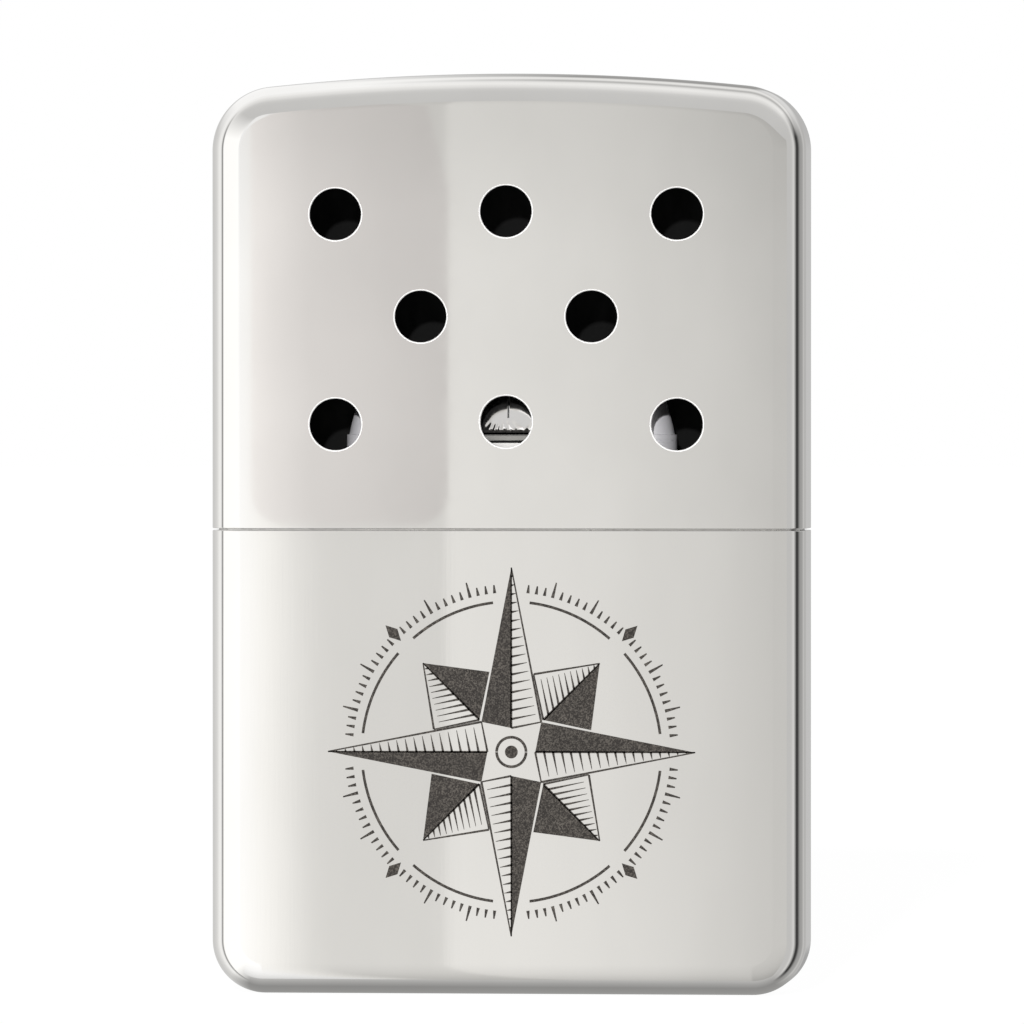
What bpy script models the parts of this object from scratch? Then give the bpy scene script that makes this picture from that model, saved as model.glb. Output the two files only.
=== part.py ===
"""Catalytic hand warmer: a flat drawn case with a lift-off lid, over a fuel tank and a catalytic burner.

Metres, +Z up. The origin is the middle of the base, the front faces -Y and the width runs along X.
"""

import math

import bmesh
import bpy
from mathutils import Matrix, Vector

# Outer body, lid on
WIDTH = 0.0648
HEIGHT = 0.1000
DEPTH = 0.0140
SHEET = 0.0005
RIM_RADIUS = 0.0034
TOP_CORNER_RADIUS = 0.0070
BOTTOM_CORNER_RADIUS = 0.0058
CROWN_RADIUS = 0.2500
SEAM_HEIGHT = 0.0505
SEAM_GAP = 0.0002

# Vents in the lid's front: rows of three, two and three
VENT_DIAMETER = 0.0056
VENT_PITCH = 0.0186
VENT_ROW_PITCH = 0.0114
VENT_MIDDLE_ROW_SHARE = 0.4667
VENT_OUTER_DROP = 0.0003

# Tank shoulder, which stands above the seam and guides the lid
FIT_GAP = 0.0002
SHOULDER_SHEET = 0.0004
SHOULDER_STAND = 0.0060
SHOULDER_SKIRT_DEPTH = 0.0065
SHOULDER_EDGE_RADIUS = 0.0010

# Neck and burner share one obround plan: two half circles, this far from the middle
OBROUND_REACH = 0.0133

# Filler neck
NECK_OUTER_RADIUS = 0.00415
NECK_WALL = 0.0004
NECK_STAND = 0.0031
NECK_DEPTH = 0.0030
NECK_LIP = 0.0007
SOLDER_WIDTH = 0.0007
SOLDER_HEIGHT = 0.0003

# Burner collar, which slips over the neck
COLLAR_RADIUS = 0.00475
COLLAR_SKIRT_LENGTH = 0.0027
COLLAR_PLATE = 0.0009
COLLAR_FLANGE = 0.0002
COLLAR_GROOVE_DEPTH = 0.0003
COLLAR_GROOVE_HEIGHT = 0.0003
COLLAR_MOUTH_RADIUS = 0.0033
SLIP_GAP = 0.00025
SEAT_GAP = 0.0002
REST_GAP = 0.0003

# Burner shell: it leans in from its foot, then stands upright
BURNER_RADIUS = 0.0045
BURNER_UPPER_RADIUS = 0.0034
BURNER_LEAN_HEIGHT = 0.0043
BURNER_HEIGHT = 0.0092
BURNER_SHEET = 0.0003
BURNER_FILLET = 0.0012
BURNER_MOUTH_RADIUS = 0.0017
SLIT_WIDTH = 0.00035
SLIT_PITCH = 0.0042
SLIT_SILL = 0.0018
SLIT_HEIGHT = 0.0052
SLITS = 7

# Gauze, mat and clips inside the burner
GAUZE_THICKNESS = 0.0002
GAUZE_HOLE = 0.0016
GAUZE_PITCH = 0.0023
GAUZE_COLUMNS = 12
GAUZE_ROWS = 3
CLIP_THICKNESS = 0.00025
CLIP_SHORTFALL = 0.0008
MAT_GAP = 0.0002
MAT_EDGE_RADIUS = 0.0008

# Felt plug and packing wads inside the tank
WICK_SIDE_GAP = 0.00025
WICK_RECESS = 0.0013
WICK_TAIL = 0.0040
WICK_EDGE_RADIUS = 0.0006
PACKING_GAP = 0.0004
WAD_EDGE_RADIUS = 0.0036
WAD_MOST_ROUNDING_SHARE = 0.45
WAD_ROWS = 3

# Cuts run this far past what they cut, and points nearer than this are one
OVERRUN = 0.0010
MERGE_DISTANCE = 0.000001

# Smoothness of the rounded forms
CORNER_STEPS = 6
CROWN_STEPS = 10
RIM_STEPS = 5
VENT_SIDES = 24
END_STEPS = 12
FILLET_STEPS = 3
SMOOTH_ANGLE = math.radians(35)

# Levels that follow from the sizes above
DECK_HEIGHT = SEAM_HEIGHT + SHOULDER_STAND
NECK_TOP = DECK_HEIGHT + NECK_STAND
COLLAR_PLATE_HEIGHT = NECK_TOP + REST_GAP
BURNER_SEAT = COLLAR_PLATE_HEIGHT + COLLAR_PLATE
BURNER_FOOT = BURNER_SEAT + SEAT_GAP
BURNER_LEAN_TOP = BURNER_FOOT + BURNER_LEAN_HEIGHT
BURNER_TOP = BURNER_FOOT + BURNER_HEIGHT
MAT_SEAT = BURNER_FOOT + GAUZE_THICKNESS + MAT_GAP


def clear_scene():
    """Remove every object that the scene starts with."""
    for obj in list(bpy.data.objects):
        bpy.data.objects.remove(obj, do_unlink=True)


def principled(name, colour, roughness, metallic):
    """A plain Principled material."""
    material = bpy.data.materials.new(name)
    material.use_nodes = True
    shader = material.node_tree.nodes["Principled BSDF"]
    shader.inputs["Base Color"].default_value = (*colour, 1.0)
    shader.inputs["Roughness"].default_value = roughness
    shader.inputs["Metallic"].default_value = metallic
    return material


def body_origin(name, height, parent=None):
    """An empty on the middle line, which carries the pieces of one body."""
    empty = bpy.data.objects.new(name, None)
    empty.location = (0, 0, height)
    empty.parent = parent
    if parent:
        empty.matrix_parent_inverse = Matrix.Translation(-parent.location)
    bpy.context.scene.collection.objects.link(empty)
    return empty


def add_piece(name, bm, material, body):
    """Turn a bmesh that was made in place into a smooth-shaded object carried by a body's empty."""
    bmesh.ops.translate(bm, verts=bm.verts, vec=-body.location)
    mesh = bpy.data.meshes.new(name)
    bm.to_mesh(mesh)
    bm.free()
    mesh.shade_smooth()
    mesh.set_sharp_from_angle(angle=SMOOTH_ANGLE)
    mesh.materials.append(material)
    obj = bpy.data.objects.new(name, mesh)
    obj.parent = body
    bpy.context.scene.collection.objects.link(obj)
    return obj


def cut(obj, cutter_bm, body):
    """Cut a bmesh, made in place, out of an object with a Boolean modifier."""
    bmesh.ops.recalc_face_normals(cutter_bm, faces=cutter_bm.faces)
    cutter = add_piece(obj.name + ".cutter", cutter_bm, obj.data.materials[0], body)
    cutter.hide_render = True
    cutter.display_type = "WIRE"
    boolean = obj.modifiers.new("Cut", "BOOLEAN")
    boolean.operation = "DIFFERENCE"
    boolean.solver = "EXACT"
    boolean.object = cutter


def thicken(obj, thickness):
    """Give an open skin its sheet thickness, inwards."""
    solidify = obj.modifiers.new("Sheet", "SOLIDIFY")
    solidify.thickness = thickness
    solidify.offset = -1
    solidify.use_even_offset = True


def arc(centre, radius, start, end, steps):
    """Points along an arc, both ends included, as (across, up) pairs."""
    angles = [start + (end - start) * step / steps for step in range(steps + 1)]
    return [(centre[0] + radius * math.cos(a), centre[1] + radius * math.sin(a)) for a in angles]


def front_outline():
    """The front view's outline, anticlockwise from the right-hand end of the flat base."""
    low_x = WIDTH / 2 - BOTTOM_CORNER_RADIUS
    top_x = WIDTH / 2 - TOP_CORNER_RADIUS
    crown_z = HEIGHT - CROWN_RADIUS
    top_z = crown_z + math.sqrt((CROWN_RADIUS - TOP_CORNER_RADIUS) ** 2 - top_x**2)
    tangent = math.atan2(top_z - crown_z, top_x)
    right = arc((low_x, BOTTOM_CORNER_RADIUS), BOTTOM_CORNER_RADIUS, -math.pi / 2, 0, CORNER_STEPS)
    right += arc((top_x, top_z), TOP_CORNER_RADIUS, 0, tangent, CORNER_STEPS)
    crown = arc((0, crown_z), CROWN_RADIUS, tangent, math.pi - tangent, CROWN_STEPS)[1:-1]
    left = [(-x, z) for x, z in reversed(right)]
    return right + crown + left


def closed_body():
    """The whole closed body as one solid: its outline drawn back, with both rims rounded."""
    bm = bmesh.new()
    front = bm.faces.new([bm.verts.new((x, -DEPTH / 2, z)) for x, z in front_outline()])
    drawn = bmesh.ops.extrude_face_region(bm, geom=[front], use_keep_orig=True)
    back = [item for item in drawn["geom"] if isinstance(item, bmesh.types.BMVert)]
    bmesh.ops.translate(bm, verts=back, vec=(0, DEPTH, 0))
    bmesh.ops.recalc_face_normals(bm, faces=bm.faces)
    rims = [edge for edge in bm.edges if abs(edge.verts[0].co.y - edge.verts[1].co.y) < MERGE_DISTANCE]
    bmesh.ops.bevel(
        bm, geom=rims, offset=RIM_RADIUS, segments=RIM_STEPS, profile=0.5, affect="EDGES", material=-1
    )
    return bm


def body_half(height, upper):
    """The skin of the closed body on one side of a level cut, open at the cut."""
    bm = closed_body()
    bmesh.ops.bisect_plane(
        bm,
        geom=bm.verts[:] + bm.edges[:] + bm.faces[:],
        dist=MERGE_DISTANCE,
        plane_co=(0, 0, height),
        plane_no=(0, 0, 1),
        clear_inner=upper,
        clear_outer=not upper,
    )
    return bm


def case_shell(body, material):
    """The drawn lower casing."""
    obj = add_piece("case_shell", body_half(SEAM_HEIGHT - SEAM_GAP / 2, upper=False), material, body)
    thicken(obj, SHEET)


def vent_centres():
    """Middle points of the eight vents in the front view, in rows about a height in the lid."""
    middle = SEAM_HEIGHT + VENT_MIDDLE_ROW_SHARE * (HEIGHT - SEAM_HEIGHT)
    high = middle + VENT_ROW_PITCH
    low = middle - VENT_ROW_PITCH
    centres = [(side * VENT_PITCH / 2, middle) for side in (-1, 1)]
    for row in (high, low):
        centres.append((0, row))
        centres += [(side * VENT_PITCH, row - VENT_OUTER_DROP) for side in (-1, 1)]
    return centres


def lid_shell(body, material):
    """The drawn lid, with its vents cut through the front wall only."""
    obj = add_piece("lid_shell", body_half(SEAM_HEIGHT + SEAM_GAP / 2, upper=True), material, body)
    thicken(obj, SHEET)
    drills = bmesh.new()
    for x, z in vent_centres():
        place = Matrix.Translation((x, -DEPTH / 2, z)) @ Matrix.Rotation(math.pi / 2, 4, "X")
        bmesh.ops.create_cone(
            drills,
            cap_ends=True,
            segments=VENT_SIDES,
            radius1=VENT_DIAMETER / 2,
            radius2=VENT_DIAMETER / 2,
            depth=2 * (SHEET + OVERRUN),
            matrix=place,
        )
    cut(obj, drills, body)


def shoulder_plan():
    """Plan outline of the shoulder: the casing's inside, less the fit gap."""
    inset = SHEET + FIT_GAP
    radius = RIM_RADIUS - inset
    x = WIDTH / 2 - RIM_RADIUS
    y = DEPTH / 2 - RIM_RADIUS
    plan = []
    for quarter, (across, deep) in enumerate(((x, y), (-x, y), (-x, -y), (x, -y))):
        start = quarter * math.pi / 2
        plan += arc((across, deep), radius, start, start + math.pi / 2, CORNER_STEPS)
    return plan


def tank_shoulder(body, material):
    """The inverted tray that closes the tank and guides the lid, with its opening for the neck."""
    bm = bmesh.new()
    foot = SEAM_HEIGHT - SHOULDER_SKIRT_DEPTH
    deck = bm.faces.new([bm.verts.new((x, y, DECK_HEIGHT)) for x, y in shoulder_plan()])
    rim = list(deck.edges)
    walls = bmesh.ops.extrude_edge_only(bm, edges=rim)
    low = [item for item in walls["geom"] if isinstance(item, bmesh.types.BMVert)]
    bmesh.ops.translate(bm, verts=low, vec=(0, 0, foot - DECK_HEIGHT))
    bmesh.ops.bevel(
        bm,
        geom=rim,
        offset=SHOULDER_EDGE_RADIUS,
        segments=FILLET_STEPS,
        profile=0.5,
        affect="EDGES",
        material=-1,
    )
    bmesh.ops.recalc_face_normals(bm, faces=bm.faces)
    obj = add_piece("tank_shoulder", bm, material, body)
    thicken(obj, SHOULDER_SHEET)
    opening = NECK_OUTER_RADIUS + FIT_GAP
    low_cut = DECK_HEIGHT - SHOULDER_SHEET - OVERRUN
    cut(obj, obround_solid([(opening, low_cut), (opening, DECK_HEIGHT + OVERRUN)]), body)


def sweep_obround(bm, edges):
    """Sweep profile edges, drawn at the front of the right-hand end, once round the obround path."""
    legs = ((OBROUND_REACH, -2 * OBROUND_REACH), (-OBROUND_REACH, 2 * OBROUND_REACH))
    for centre, run in legs:
        turned = bmesh.ops.spin(
            bm, geom=edges, cent=(centre, 0, 0), axis=(0, 0, 1), angle=math.pi, steps=END_STEPS
        )
        edges = [item for item in turned["geom_last"] if isinstance(item, bmesh.types.BMEdge)]
        straight = bmesh.ops.extrude_edge_only(bm, edges=edges)
        moved = [item for item in straight["geom"] if isinstance(item, bmesh.types.BMVert)]
        edges = [item for item in straight["geom"] if isinstance(item, bmesh.types.BMEdge)]
        edges = [edge for edge in edges if all(vert in moved for vert in edge.verts)]
        bmesh.ops.translate(bm, verts=moved, vec=(run, 0, 0))
    bmesh.ops.remove_doubles(bm, verts=bm.verts, dist=MERGE_DISTANCE)


def obround(profile, closed):
    """A ring or skin from a profile of (radius, height) points, swept round the obround path."""
    bm = bmesh.new()
    points = [bm.verts.new((OBROUND_REACH, -radius, height)) for radius, height in profile]
    edges = [bm.edges.new(pair) for pair in zip(points, points[1:])]
    if closed:
        edges.append(bm.edges.new((points[-1], points[0])))
    sweep_obround(bm, edges)
    bmesh.ops.recalc_face_normals(bm, faces=bm.faces)
    return bm


def obround_solid(profile):
    """A solid with flat ends, whose side follows the profile from bottom to top."""
    bm = obround(profile, closed=False)
    ends = [edge for edge in bm.edges if edge.is_boundary]
    bmesh.ops.holes_fill(bm, edges=ends)
    bmesh.ops.recalc_face_normals(bm, faces=bm.faces)
    return bm


def rounded_side(radius, low, high, fillet):
    """Profile of a plug: upright, with both of its edges rounded."""
    inner = radius - fillet
    side = arc((inner, low + fillet), fillet, -math.pi / 2, 0, FILLET_STEPS)
    return side + arc((inner, high - fillet), fillet, 0, math.pi / 2, FILLET_STEPS)


def filler_neck(body, material):
    """The obround tube through the deck, with a lip that holds it from below."""
    outer = NECK_OUTER_RADIUS
    inner = outer - NECK_WALL
    under = DECK_HEIGHT - SHOULDER_SHEET - FIT_GAP
    profile = [
        (inner, NECK_TOP),
        (outer, NECK_TOP),
        (outer, under),
        (outer + NECK_LIP, under),
        (outer + NECK_LIP, under - NECK_WALL),
        (outer, under - NECK_WALL),
        (outer, under - NECK_DEPTH),
        (inner, under - NECK_DEPTH),
    ]
    add_piece("filler_neck", obround(profile, closed=True), material, body)


def neck_solder_ring(body, material):
    """The soldered fillet on the deck, round the neck."""
    near = NECK_OUTER_RADIUS + FIT_GAP
    low = DECK_HEIGHT + FIT_GAP
    profile = [(near, low), (near + SOLDER_WIDTH, low), (near, low + SOLDER_HEIGHT)]
    add_piece("neck_solder_ring", obround(profile, closed=True), material, body)


def wick_bottom():
    """Height of the felt plug's lower end."""
    return DECK_HEIGHT - SHOULDER_SHEET - NECK_DEPTH - WICK_TAIL


def wick_felt(body, material):
    """The felt plug that fills the neck and reaches down to the packing."""
    radius = NECK_OUTER_RADIUS - NECK_WALL - WICK_SIDE_GAP
    side = rounded_side(radius, wick_bottom(), NECK_TOP - WICK_RECESS, WICK_EDGE_RADIUS)
    add_piece("wick_felt", obround_solid(side), material, body)


def wad(name, low, high, material, body):
    """One soft wad of packing: a block with well rounded edges between two corners."""
    bm = bmesh.new()
    size = high - low
    place = Matrix.Translation((low + high) / 2) @ Matrix.Diagonal((*size, 1))
    bmesh.ops.create_cube(bm, size=1, matrix=place)
    bmesh.ops.bevel(
        bm,
        geom=bm.edges[:],
        offset=min(WAD_EDGE_RADIUS, min(size) * WAD_MOST_ROUNDING_SHARE),
        segments=FILLET_STEPS,
        profile=0.5,
        affect="EDGES",
        material=-1,
    )
    add_piece(name, bm, material, body)


def packing_wads(body, material):
    """Wads in rows of two from the floor up to the wick, then one on each side of the neck."""
    half_width = WIDTH / 2 - SHEET - FIT_GAP - SHOULDER_SHEET - PACKING_GAP
    half_depth = DEPTH / 2 - SHEET - FIT_GAP - SHOULDER_SHEET - PACKING_GAP
    floor = SHEET + PACKING_GAP
    pitch = (wick_bottom() - floor) / WAD_ROWS
    count = 0
    for row in range(WAD_ROWS):
        for side in (-1, 1):
            count += 1
            ends = sorted((side * PACKING_GAP / 2, side * half_width))
            low = Vector((ends[0], -half_depth, floor + row * pitch))
            high = Vector((ends[1], half_depth, floor + (row + 1) * pitch - PACKING_GAP))
            wad(f"packing_wad_{count}", low, high, material, body)
    neck_end = OBROUND_REACH + NECK_OUTER_RADIUS + NECK_LIP + PACKING_GAP
    for side in (-1, 1):
        count += 1
        ends = sorted((side * neck_end, side * half_width))
        low = Vector((ends[0], -half_depth, wick_bottom()))
        high = Vector((ends[1], half_depth, DECK_HEIGHT - SHOULDER_SHEET - PACKING_GAP))
        wad(f"packing_wad_{count}", low, high, material, body)


def burner_collar(body, material):
    """The skirt over the neck, and the grooved plate that the burner is built on."""
    outer = COLLAR_RADIUS
    bore = NECK_OUTER_RADIUS + SLIP_GAP
    foot = COLLAR_PLATE_HEIGHT - COLLAR_SKIRT_LENGTH
    groove_low = COLLAR_PLATE_HEIGHT + COLLAR_FLANGE
    groove_high = groove_low + COLLAR_GROOVE_HEIGHT
    profile = [
        (bore, foot),
        (outer, foot),
        (outer, groove_low),
        (outer - COLLAR_GROOVE_DEPTH, groove_low),
        (outer - COLLAR_GROOVE_DEPTH, groove_high),
        (outer, groove_high),
        (outer, BURNER_SEAT),
        (COLLAR_MOUTH_RADIUS, BURNER_SEAT),
        (COLLAR_MOUTH_RADIUS, COLLAR_PLATE_HEIGHT),
        (bore, COLLAR_PLATE_HEIGHT),
    ]
    add_piece("burner_collar", obround(profile, closed=True), material, body)


def slit_cutter():
    """Upright blades across the burner shell, one for each pair of slits."""
    bm = bmesh.new()
    low = BURNER_SEAT + SLIT_SILL
    size = (SLIT_WIDTH, 2 * (BURNER_RADIUS + OVERRUN), SLIT_HEIGHT)
    for index in range(SLITS):
        x = (index - (SLITS - 1) / 2) * SLIT_PITCH
        place = Matrix.Translation((x, 0, low + SLIT_HEIGHT / 2)) @ Matrix.Diagonal((*size, 1))
        bmesh.ops.create_cube(bm, size=1, matrix=place)
    return bm


def burner_side(height):
    """Outer radius of the burner shell's side at a height."""
    share = min(1, (height - BURNER_FOOT) / BURNER_LEAN_HEIGHT)
    return BURNER_RADIUS + (BURNER_UPPER_RADIUS - BURNER_RADIUS) * share


def burner_shell(body, material):
    """The drawn cover of the burner: slits at front and back, open at the top."""
    outer = BURNER_UPPER_RADIUS
    bend = (outer - BURNER_FILLET, BURNER_TOP - BURNER_FILLET)
    outside = arc(bend, BURNER_FILLET, 0, math.pi / 2, FILLET_STEPS)
    inside = arc(bend, BURNER_FILLET - BURNER_SHEET, math.pi / 2, 0, FILLET_STEPS)
    profile = [(BURNER_RADIUS, BURNER_FOOT), (outer, BURNER_LEAN_TOP)] + outside
    profile += [(BURNER_MOUTH_RADIUS, BURNER_TOP), (BURNER_MOUTH_RADIUS, BURNER_TOP - BURNER_SHEET)]
    profile += inside
    profile += [(outer - BURNER_SHEET, BURNER_LEAN_TOP), (BURNER_RADIUS - BURNER_SHEET, BURNER_FOOT)]
    obj = add_piece("burner_shell", obround(profile, closed=True), material, body)
    cut(obj, slit_cutter(), body)


def support_gauze(body, material):
    """The thin grid under the mat."""
    low = BURNER_FOOT
    radius = burner_side(low + GAUZE_THICKNESS) - BURNER_SHEET - SEAT_GAP
    plate = obround_solid([(radius, low), (radius, low + GAUZE_THICKNESS)])
    obj = add_piece("support_gauze", plate, material, body)
    punches = bmesh.new()
    size = (GAUZE_HOLE, GAUZE_HOLE, GAUZE_THICKNESS + OVERRUN)
    for column in range(GAUZE_COLUMNS):
        for row in range(GAUZE_ROWS):
            x = (column - (GAUZE_COLUMNS - 1) / 2) * GAUZE_PITCH
            y = (row - (GAUZE_ROWS - 1) / 2) * GAUZE_PITCH
            place = Matrix.Translation((x, y, low + GAUZE_THICKNESS / 2)) @ Matrix.Diagonal((*size, 1))
            bmesh.ops.create_cube(punches, size=1, matrix=place)
    cut(obj, punches, body)


def clip_radii():
    """Inner and outer radius of the clips, between the mat and the upright part of the shell."""
    outer = BURNER_UPPER_RADIUS - BURNER_SHEET - SEAT_GAP
    return outer - CLIP_THICKNESS, outer


def catalyst_mat(body, material):
    """The glass-fibre mat that fills the burner."""
    radius = clip_radii()[0] - MAT_GAP
    high = BURNER_TOP - BURNER_SHEET - REST_GAP
    side = rounded_side(radius, MAT_SEAT, high, MAT_EDGE_RADIUS)
    add_piece("catalyst_mat", obround_solid(side), material, body)


def mat_clips(body, material):
    """A half-round strip at each end of the mat."""
    inner, outer = clip_radii()
    high = BURNER_TOP - BURNER_FILLET - CLIP_SHORTFALL
    section = ((inner, MAT_SEAT), (outer, MAT_SEAT), (outer, high), (inner, high))
    for name, side in (("mat_clip_left", -1), ("mat_clip_right", 1)):
        bm = bmesh.new()
        centre = side * OBROUND_REACH
        end = bm.faces.new([bm.verts.new((centre, -radius, height)) for radius, height in section])
        bmesh.ops.spin(
            bm,
            geom=[end, *end.edges, *end.verts],
            cent=(centre, 0, 0),
            axis=(0, 0, side),
            angle=math.pi,
            steps=END_STEPS,
        )
        bmesh.ops.recalc_face_normals(bm, faces=bm.faces)
        add_piece(name, bm, material, body)


def build():
    """Make the three bodies and all their pieces."""
    clear_scene()
    chrome = principled("polished_chrome", (0.86, 0.85, 0.84), 0.08, 1.0)
    satin = principled("satin_chrome", (0.82, 0.81, 0.80), 0.20, 1.0)
    tank_steel = principled("plated_tank_steel", (0.72, 0.71, 0.69), 0.25, 1.0)
    solder = principled("solder", (0.60, 0.60, 0.58), 0.40, 1.0)
    burner_steel = principled("burner_steel", (0.78, 0.78, 0.78), 0.22, 1.0)
    wire = principled("gauze_wire", (0.55, 0.55, 0.53), 0.35, 1.0)
    fibre = principled("catalyst_fibre", (0.42, 0.42, 0.41), 0.95, 0.0)
    felt = principled("felt", (0.86, 0.84, 0.78), 0.95, 0.0)
    cotton = principled("cotton", (0.90, 0.89, 0.86), 0.95, 0.0)

    case = body_origin("case_body", 0)
    lid = body_origin("lid_body", SEAM_HEIGHT, case)
    burner = body_origin("burner_body", NECK_TOP, case)

    case_shell(case, satin)
    tank_shoulder(case, tank_steel)
    filler_neck(case, tank_steel)
    neck_solder_ring(case, solder)
    wick_felt(case, felt)
    packing_wads(case, cotton)
    lid_shell(lid, chrome)
    burner_collar(burner, tank_steel)
    burner_shell(burner, burner_steel)
    support_gauze(burner, wire)
    catalyst_mat(burner, fibre)
    mat_clips(burner, burner_steel)


build()
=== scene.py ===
# %% [markdown]
# # A chrome catalytic hand warmer
# The real object is two drawn metal cups, one over the other. The lower one is a fuel tank, the upper one
# a vented lid, and a small catalytic burner stands on the tank's neck between them.
# The solids of the part are loaded first, as a fixed frame. Every new piece takes its size and place from
# that frame, so nothing has to be fitted afterwards.

import math

import bmesh
import bpy
from mathutils import Matrix, Vector, noise


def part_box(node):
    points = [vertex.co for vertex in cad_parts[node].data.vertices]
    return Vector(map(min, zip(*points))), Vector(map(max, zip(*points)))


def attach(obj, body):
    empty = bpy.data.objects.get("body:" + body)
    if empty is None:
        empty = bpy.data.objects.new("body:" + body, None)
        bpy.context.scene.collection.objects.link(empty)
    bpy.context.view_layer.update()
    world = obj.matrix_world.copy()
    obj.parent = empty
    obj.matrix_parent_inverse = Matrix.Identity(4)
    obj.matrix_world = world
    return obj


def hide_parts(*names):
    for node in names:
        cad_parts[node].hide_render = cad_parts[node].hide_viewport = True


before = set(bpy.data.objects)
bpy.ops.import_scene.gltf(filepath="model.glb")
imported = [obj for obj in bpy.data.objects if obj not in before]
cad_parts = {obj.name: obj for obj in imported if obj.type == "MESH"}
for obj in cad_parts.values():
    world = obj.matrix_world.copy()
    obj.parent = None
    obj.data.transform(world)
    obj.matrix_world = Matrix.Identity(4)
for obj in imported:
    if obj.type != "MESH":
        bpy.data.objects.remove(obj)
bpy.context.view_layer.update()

# %% [markdown]
# ## Sizes
# Most sizes come from the frame's own boxes. What a box can't say, such as the radius of an edge, is named
# here once. All lengths are in metres.

# %% Sizes read from the frame
lid_low, lid_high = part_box("lid_shell")
case_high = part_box("case_shell")[1]
shoulder_low, shoulder_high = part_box("tank_shoulder")
WIDTH = lid_high.x - lid_low.x
DEPTH = lid_high.y - lid_low.y
HEIGHT = lid_high.z
FACE_Y = lid_low.y
print(f"body {WIDTH * 1000:.1f} x {DEPTH * 1000:.1f} x {HEIGHT * 1000:.1f} mm")

# %% Sizes named once
SHEET = 0.0005
RIM_RADIUS = 0.0034
TOP_CORNER = 0.0070
BOTTOM_CORNER = 0.0058
CROWN_RADIUS = 0.2500
SEAM_EDGE = 0.00009
TINY = 0.000001
OVERRUN = 0.0010
print(f"sheet {SHEET * 1000:.2f} mm thick, rims rounded by {RIM_RADIUS * 1000:.1f} mm")

# %% [markdown]
# ## Camera
# A product photograph like this is taken from far away with a long lens, so the upright edges stay
# parallel. The vents sit a little left of the middle of the outline, which tells that the camera stands a
# few degrees to the right. The distance follows from the lens and from how much of the frame is filled.

# %% Camera
LENS_MM = 400.0
SENSOR_MM = 36.0
FRAME_PIXELS = 1024
BODY_PIXELS = 917.5
CENTRE_PIXEL_Y = 533.5
CAMERA_AZIMUTH = math.radians(5.5)
CAMERA_ELEVATION = math.radians(0.6)

pixel = HEIGHT / BODY_PIXELS
camera_distance = pixel * FRAME_PIXELS * LENS_MM / SENSOR_MM
aim = Vector((0, 0, HEIGHT / 2 + (CENTRE_PIXEL_Y - FRAME_PIXELS / 2) * pixel))
away = Vector((
    math.sin(CAMERA_AZIMUTH) * math.cos(CAMERA_ELEVATION),
    -math.cos(CAMERA_AZIMUTH) * math.cos(CAMERA_ELEVATION),
    math.sin(CAMERA_ELEVATION),
))
lens = bpy.data.cameras.new("camera")
lens.lens = LENS_MM
lens.sensor_width = SENSOR_MM
lens.clip_start = 0.01
lens.clip_end = 10.0
camera = bpy.data.objects.new("camera", lens)
camera.location = aim + away * camera_distance
camera.rotation_euler = away.to_track_quat("Z", "Y").to_euler()
bpy.context.scene.collection.objects.link(camera)
bpy.context.scene.camera = camera
print(f"camera {camera_distance:.3f} m away, one pixel is {pixel * 1000:.4f} mm")

# %% [markdown]
# ## Node helpers
# A material is a small graph of nodes. A few helpers keep the recipes short: they add a node and feed its
# inputs by name, each with a number or with a wire from another node. Patterns read Object coordinates,
# which are metres here, so a Mapping node turns them into a scale that suits each pattern.

# %% Node helpers
def wire(owner, source, target):
    """Feed an input with an output socket or with a plain value."""
    if isinstance(source, bpy.types.NodeSocket):
        owner.node_tree.links.new(source, target)
    else:
        target.default_value = source


def feed(owner, node, **values):
    """Feed a node's inputs by name, with underscores for the spaces in the names."""
    for name, value in values.items():
        wire(owner, value, node.inputs[name.replace("_", " ")])
    return node


def add_node(owner, kind, **values):
    """Add a node to a material or world and feed its inputs."""
    return feed(owner, owner.node_tree.nodes.new(kind), **values)


def new_material(name):
    """A material with nodes, and its shader."""
    material = bpy.data.materials.new(name)
    material.use_nodes = True
    return material, material.node_tree.nodes["Principled BSDF"]


def stretched_noise(owner, scale, detail=3.0, roughness=0.55):
    """Noise over the object's own coordinates, with its cells per metre given for each axis."""
    place = add_node(owner, "ShaderNodeTexCoord").outputs["Object"]
    spot = add_node(owner, "ShaderNodeMapping", Scale=scale, Vector=place).outputs["Vector"]
    settings = {"Scale": 1.0, "Detail": detail, "Roughness": roughness}
    return add_node(owner, "ShaderNodeTexNoise", Vector=spot, **settings).outputs["Fac"]


def raised(owner, pattern, distance):
    """The direction of the surface where a pattern raises it by up to a distance."""
    bump = add_node(owner, "ShaderNodeBump", Strength=1.0, Distance=distance, Height=pattern)
    return bump.outputs["Normal"]


def remap(owner, source, low, high, into_low=0.0, into_high=1.0):
    """Stretch a range of values onto another one, clamped at its ends."""
    ends = {"From_Min": low, "From_Max": high, "To_Min": into_low, "To_Max": into_high}
    return add_node(owner, "ShaderNodeMapRange", Value=source, **ends).outputs["Result"]


def ramp(owner, source, stops):
    """A colour ramp over a value, from (position, colour) stops."""
    made = add_node(owner, "ShaderNodeValToRGB", Fac=source)
    bar = made.color_ramp
    while len(bar.elements) < len(stops):
        bar.elements.new(1.0)
    for element, (position, colour) in zip(bar.elements, stops):
        element.position = position
        element.color = (*colour, 1.0)
    return made.outputs["Color"]


def calculate(owner, operation, *sources):
    """A Math node over sockets or plain numbers."""
    made = add_node(owner, "ShaderNodeMath")
    made.operation = operation
    for source, target in zip(sources, made.inputs):
        wire(owner, source, target)
    return made.outputs["Value"]


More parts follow.
